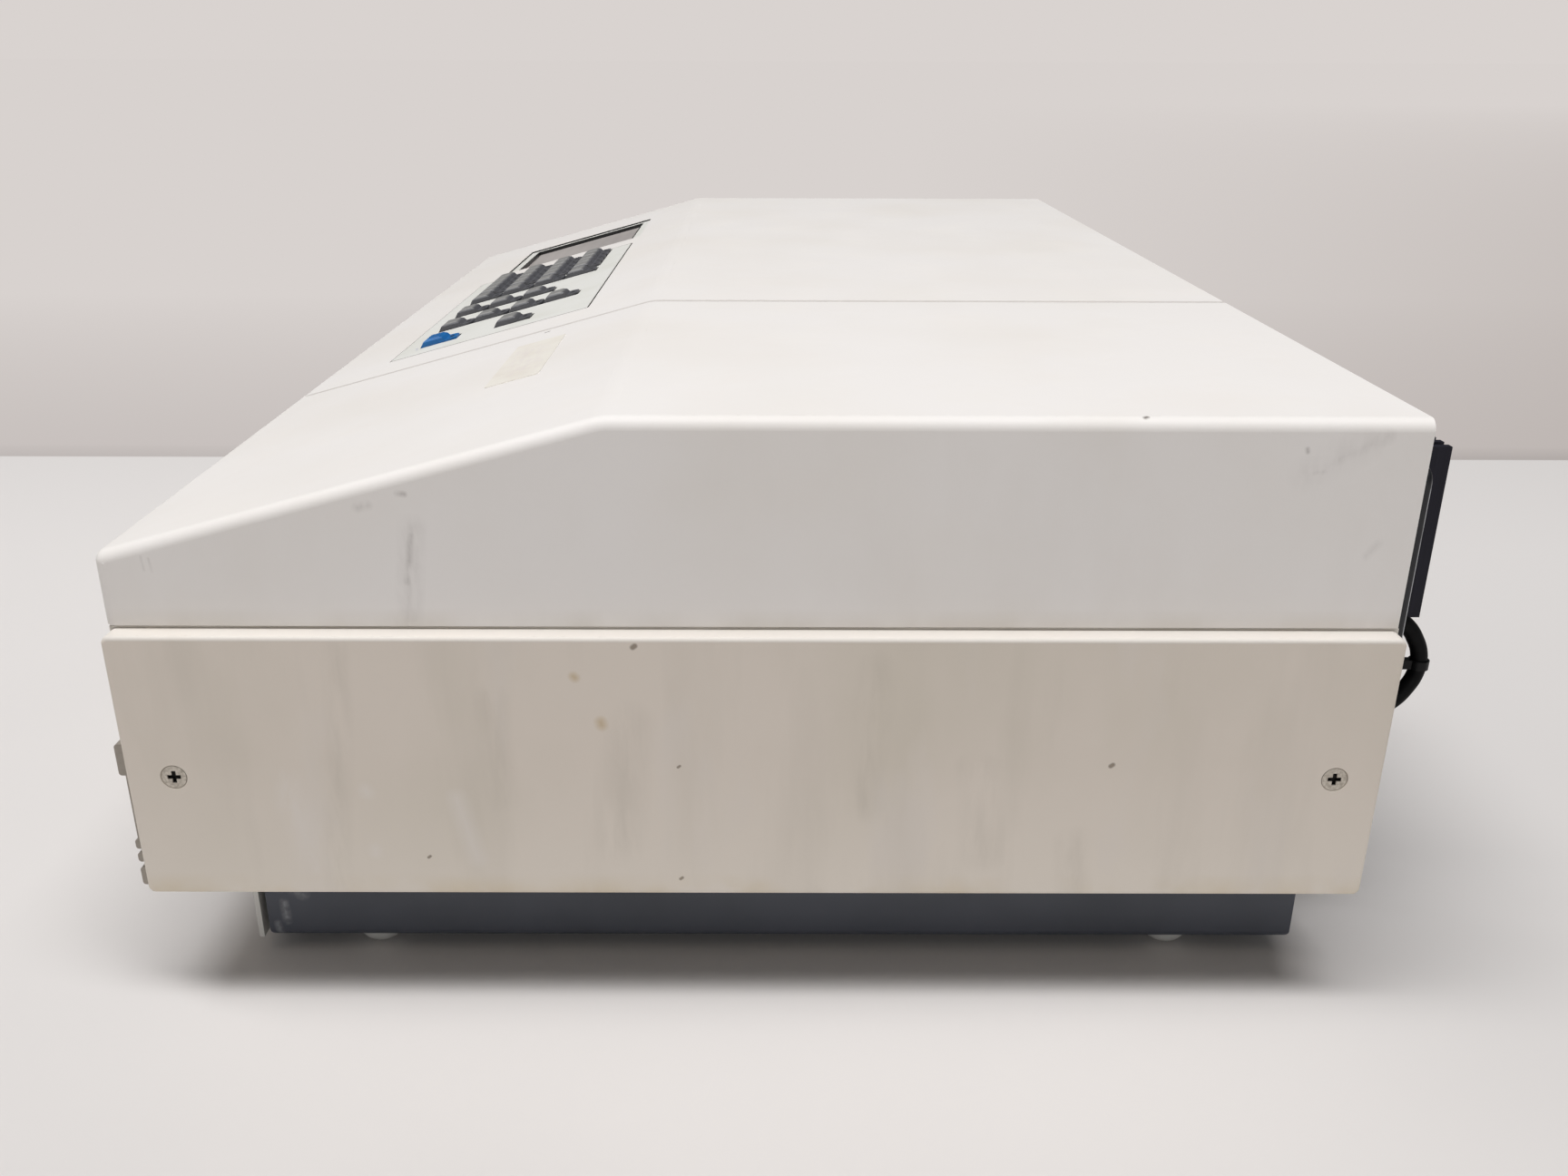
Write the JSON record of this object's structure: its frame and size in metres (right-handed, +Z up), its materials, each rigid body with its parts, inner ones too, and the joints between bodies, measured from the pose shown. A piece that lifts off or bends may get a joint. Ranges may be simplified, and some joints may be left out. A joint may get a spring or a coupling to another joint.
{
  "type": "spectrophotometer",
  "caption": "Bench spectrophotometer with a sloping key field and display, a hinged lid over the sample compartment, a finned heat sink behind and its optics inside.",
  "frame": {"origin": "bottom centre of the bounding box, on the table between the feet", "axes": "+X to the right of someone who uses the keys, +Y to the rear, +Z up"},
  "size_m": [0.51, 0.3494, 0.16],
  "materials": {
    "base_plastic": "dark moulded plastic",
    "tray_paint": "blue-grey paint on sheet steel",
    "plinth_paint": "light grey paint",
    "foot_rubber": "pale soft feet",
    "fascia_plastic": "darker beige-grey moulding",
    "panel_plastic": "beige textured moulding",
    "screw_steel": "plated steel",
    "rear_paint": "black paint, worn bright at the edges",
    "cover_plastic": "off-white textured moulding",
    "plate_plastic": "light greenish grey",
    "board_laminate": "green circuit board",
    "display_glass": "pinkish grey display behind clear plastic",
    "tub_plastic": "matt black moulding",
    "black_aluminium": "black anodised",
    "lamp_glass": "fused silica and ceramic, stored as one opaque slot",
    "mirror_face": "front-silvered",
    "cast_housing": "black painted casting",
    "plain_aluminium": "machined",
    "supply_steel": "laminated core, windings and plate",
    "black_plastic": "glossy black moulding",
    "lead_rubber": "round black cable",
    "blue_key": "blue key",
    "grey_key": "grey keys"
  },
  "bodies": {
    "instrument": {"base_frame": "base_plastic", "chassis_tray": "tray_paint", "front_plinth": "plinth_paint", "feet": "foot_rubber", "front_fascia": "fascia_plastic", "right_side_panel": "panel_plastic", "left_side_panel": "panel_plastic", "side_panel_screws": "screw_steel", "rear_panel": "rear_paint", "main_cover": "cover_plastic", "keypad_plate": "plate_plastic", "key_board": "board_laminate", "display_module": "display_glass", "hinge_pins": "screw_steel", "sample_tub": "tub_plastic", "heat_sink": "black_aluminium", "lamps": "lamp_glass", "monochromator_housing": "cast_housing", "detector_housing": "cast_housing", "main_board": "board_laminate", "power_supply": "supply_steel", "mains_inlet": "black_plastic", "jumper_lead": "lead_rubber", "lead_fittings": "black_plastic"},
    "sample_lid": {"sample_lid": "cover_plastic"},
    "cell_carriage": {"cell_carriage": "black_aluminium"},
    "source_mirror": {"source_mirror": "mirror_face"},
    "filter_wheel": {"filter_wheel": "black_aluminium"},
    "grating_turntable": {"grating_turntable": "plain_aluminium"},
    "power_switch": {"power_switch": "black_plastic"},
    "start_key": {"start_key": "blue_key"},
    "function_key_1": {"function_key_1": "grey_key"},
    "function_key_2": {"function_key_2": "grey_key"},
    "function_key_3": {"function_key_3": "grey_key"},
    "function_key_4": {"function_key_4": "grey_key"},
    "function_key_5": {"function_key_5": "grey_key"},
    "function_key_6": {"function_key_6": "grey_key"},
    "function_key_7": {"function_key_7": "grey_key"},
    "function_key_8": {"function_key_8": "grey_key"},
    "function_key_9": {"function_key_9": "grey_key"},
    "function_key_10": {"function_key_10": "grey_key"},
    "function_key_11": {"function_key_11": "grey_key"},
    "function_key_12": {"function_key_12": "grey_key"},
    "pad_key_1": {"pad_key_1": "grey_key"},
    "pad_key_2": {"pad_key_2": "grey_key"},
    "pad_key_3": {"pad_key_3": "grey_key"},
    "pad_key_4": {"pad_key_4": "grey_key"},
    "pad_key_5": {"pad_key_5": "grey_key"},
    "pad_key_6": {"pad_key_6": "grey_key"},
    "pad_key_7": {"pad_key_7": "grey_key"},
    "pad_key_8": {"pad_key_8": "grey_key"},
    "pad_key_9": {"pad_key_9": "grey_key"},
    "pad_key_10": {"pad_key_10": "grey_key"},
    "pad_key_11": {"pad_key_11": "grey_key"},
    "pad_key_12": {"pad_key_12": "grey_key"},
    "pad_key_13": {"pad_key_13": "grey_key"},
    "pad_key_14": {"pad_key_14": "grey_key"},
    "pad_key_15": {"pad_key_15": "grey_key"},
    "pad_key_16": {"pad_key_16": "grey_key"},
    "pad_key_column": {"pad_key_column": "grey_key"}
  },
  "joints": [
    {"name": "lid_hinge", "type": "hinge", "parent": "instrument", "child": "sample_lid", "pos_m": [0.1704, 0.1417, 0.153], "axis": [-1, 0, 0], "range_deg": [0, 95]},
    {"name": "carriage_slide", "type": "slide", "parent": "instrument", "child": "cell_carriage", "axis": [0, 1, 0], "range_m": [-0.04, 0.04]},
    {"name": "mirror_turn", "type": "hinge", "parent": "instrument", "child": "source_mirror", "pos_m": [0.215, 0.097, 0.0562], "axis": [0, 0, 1], "range_deg": [0, 18.2]},
    {"name": "wheel_turn", "type": "hinge", "parent": "instrument", "child": "filter_wheel", "pos_m": [0.0785, 0.079, 0.072], "axis": [1, 0, 0], "continuous": true},
    {"name": "grating_turn", "type": "hinge", "parent": "instrument", "child": "grating_turntable", "pos_m": [0, 0.0175, 0.0502], "axis": [0, 0, 1], "range_deg": [-10, 50]},
    {"name": "power_rocker", "type": "hinge", "parent": "instrument", "child": "power_switch", "pos_m": [-0.206, 0.1496, 0.101], "axis": [0, 0, -1], "range_deg": [0, 16]},
    {"name": "start_key_press", "type": "slide", "parent": "instrument", "child": "start_key", "axis": [0, 0.265, -0.9643], "range_m": [0, 0.001], "stiffness_N_per_m": 350, "springref_m": -0.0006},
    {"name": "function_key_1_press", "type": "slide", "parent": "instrument", "child": "function_key_1", "axis": [0, 0.265, -0.9643], "range_m": [0, 0.001], "stiffness_N_per_m": 350, "springref_m": -0.0006},
    {"name": "function_key_2_press", "type": "slide", "parent": "instrument", "child": "function_key_2", "axis": [0, 0.265, -0.9643], "range_m": [0, 0.001], "stiffness_N_per_m": 350, "springref_m": -0.0006},
    {"name": "function_key_3_press", "type": "slide", "parent": "instrument", "child": "function_key_3", "axis": [0, 0.265, -0.9643], "range_m": [0, 0.001], "stiffness_N_per_m": 350, "springref_m": -0.0006},
    {"name": "function_key_4_press", "type": "slide", "parent": "instrument", "child": "function_key_4", "axis": [0, 0.265, -0.9643], "range_m": [0, 0.001], "stiffness_N_per_m": 350, "springref_m": -0.0006},
    {"name": "function_key_5_press", "type": "slide", "parent": "instrument", "child": "function_key_5", "axis": [0, 0.265, -0.9643], "range_m": [0, 0.001], "stiffness_N_per_m": 350, "springref_m": -0.0006},
    {"name": "function_key_6_press", "type": "slide", "parent": "instrument", "child": "function_key_6", "axis": [0, 0.265, -0.9643], "range_m": [0, 0.001], "stiffness_N_per_m": 350, "springref_m": -0.0006},
    {"name": "function_key_7_press", "type": "slide", "parent": "instrument", "child": "function_key_7", "axis": [0, 0.265, -0.9643], "range_m": [0, 0.001], "stiffness_N_per_m": 350, "springref_m": -0.0006},
    {"name": "function_key_8_press", "type": "slide", "parent": "instrument", "child": "function_key_8", "axis": [0, 0.265, -0.9643], "range_m": [0, 0.001], "stiffness_N_per_m": 350, "springref_m": -0.0006},
    {"name": "function_key_9_press", "type": "slide", "parent": "instrument", "child": "function_key_9", "axis": [0, 0.265, -0.9643], "range_m": [0, 0.001], "stiffness_N_per_m": 350, "springref_m": -0.0006},
    {"name": "function_key_10_press", "type": "slide", "parent": "instrument", "child": "function_key_10", "axis": [0, 0.265, -0.9643], "range_m": [0, 0.001], "stiffness_N_per_m": 350, "springref_m": -0.0006},
    {"name": "function_key_11_press", "type": "slide", "parent": "instrument", "child": "function_key_11", "axis": [0, 0.265, -0.9643], "range_m": [0, 0.001], "stiffness_N_per_m": 350, "springref_m": -0.0006},
    {"name": "function_key_12_press", "type": "slide", "parent": "instrument", "child": "function_key_12", "axis": [0, 0.265, -0.9643], "range_m": [0, 0.001], "stiffness_N_per_m": 350, "springref_m": -0.0006},
    {"name": "pad_key_1_press", "type": "slide", "parent": "instrument", "child": "pad_key_1", "axis": [0, 0.265, -0.9643], "range_m": [0, 0.001], "stiffness_N_per_m": 350, "springref_m": -0.0006},
    {"name": "pad_key_2_press", "type": "slide", "parent": "instrument", "child": "pad_key_2", "axis": [0, 0.265, -0.9643], "range_m": [0, 0.001], "stiffness_N_per_m": 350, "springref_m": -0.0006},
    {"name": "pad_key_3_press", "type": "slide", "parent": "instrument", "child": "pad_key_3", "axis": [0, 0.265, -0.9643], "range_m": [0, 0.001], "stiffness_N_per_m": 350, "springref_m": -0.0006},
    {"name": "pad_key_4_press", "type": "slide", "parent": "instrument", "child": "pad_key_4", "axis": [0, 0.265, -0.9643], "range_m": [0, 0.001], "stiffness_N_per_m": 350, "springref_m": -0.0006},
    {"name": "pad_key_5_press", "type": "slide", "parent": "instrument", "child": "pad_key_5", "axis": [0, 0.265, -0.9643], "range_m": [0, 0.001], "stiffness_N_per_m": 350, "springref_m": -0.0006},
    {"name": "pad_key_6_press", "type": "slide", "parent": "instrument", "child": "pad_key_6", "axis": [0, 0.265, -0.9643], "range_m": [0, 0.001], "stiffness_N_per_m": 350, "springref_m": -0.0006},
    {"name": "pad_key_7_press", "type": "slide", "parent": "instrument", "child": "pad_key_7", "axis": [0, 0.265, -0.9643], "range_m": [0, 0.001], "stiffness_N_per_m": 350, "springref_m": -0.0006},
    {"name": "pad_key_8_press", "type": "slide", "parent": "instrument", "child": "pad_key_8", "axis": [0, 0.265, -0.9643], "range_m": [0, 0.001], "stiffness_N_per_m": 350, "springref_m": -0.0006},
    {"name": "pad_key_9_press", "type": "slide", "parent": "instrument", "child": "pad_key_9", "axis": [0, 0.265, -0.9643], "range_m": [0, 0.001], "stiffness_N_per_m": 350, "springref_m": -0.0006},
    {"name": "pad_key_10_press", "type": "slide", "parent": "instrument", "child": "pad_key_10", "axis": [0, 0.265, -0.9643], "range_m": [0, 0.001], "stiffness_N_per_m": 350, "springref_m": -0.0006},
    {"name": "pad_key_11_press", "type": "slide", "parent": "instrument", "child": "pad_key_11", "axis": [0, 0.265, -0.9643], "range_m": [0, 0.001], "stiffness_N_per_m": 350, "springref_m": -0.0006},
    {"name": "pad_key_12_press", "type": "slide", "parent": "instrument", "child": "pad_key_12", "axis": [0, 0.265, -0.9643], "range_m": [0, 0.001], "stiffness_N_per_m": 350, "springref_m": -0.0006},
    {"name": "pad_key_13_press", "type": "slide", "parent": "instrument", "child": "pad_key_13", "axis": [0, 0.265, -0.9643], "range_m": [0, 0.001], "stiffness_N_per_m": 350, "springref_m": -0.0006},
    {"name": "pad_key_14_press", "type": "slide", "parent": "instrument", "child": "pad_key_14", "axis": [0, 0.265, -0.9643], "range_m": [0, 0.001], "stiffness_N_per_m": 350, "springref_m": -0.0006},
    {"name": "pad_key_15_press", "type": "slide", "parent": "instrument", "child": "pad_key_15", "axis": [0, 0.265, -0.9643], "range_m": [0, 0.001], "stiffness_N_per_m": 350, "springref_m": -0.0006},
    {"name": "pad_key_16_press", "type": "slide", "parent": "instrument", "child": "pad_key_16", "axis": [0, 0.265, -0.9643], "range_m": [0, 0.001], "stiffness_N_per_m": 350, "springref_m": -0.0006},
    {"name": "pad_key_column_press", "type": "slide", "parent": "instrument", "child": "pad_key_column", "axis": [0, 0.265, -0.9643], "range_m": [0, 0.001], "stiffness_N_per_m": 350, "springref_m": -0.0006}
  ]
}
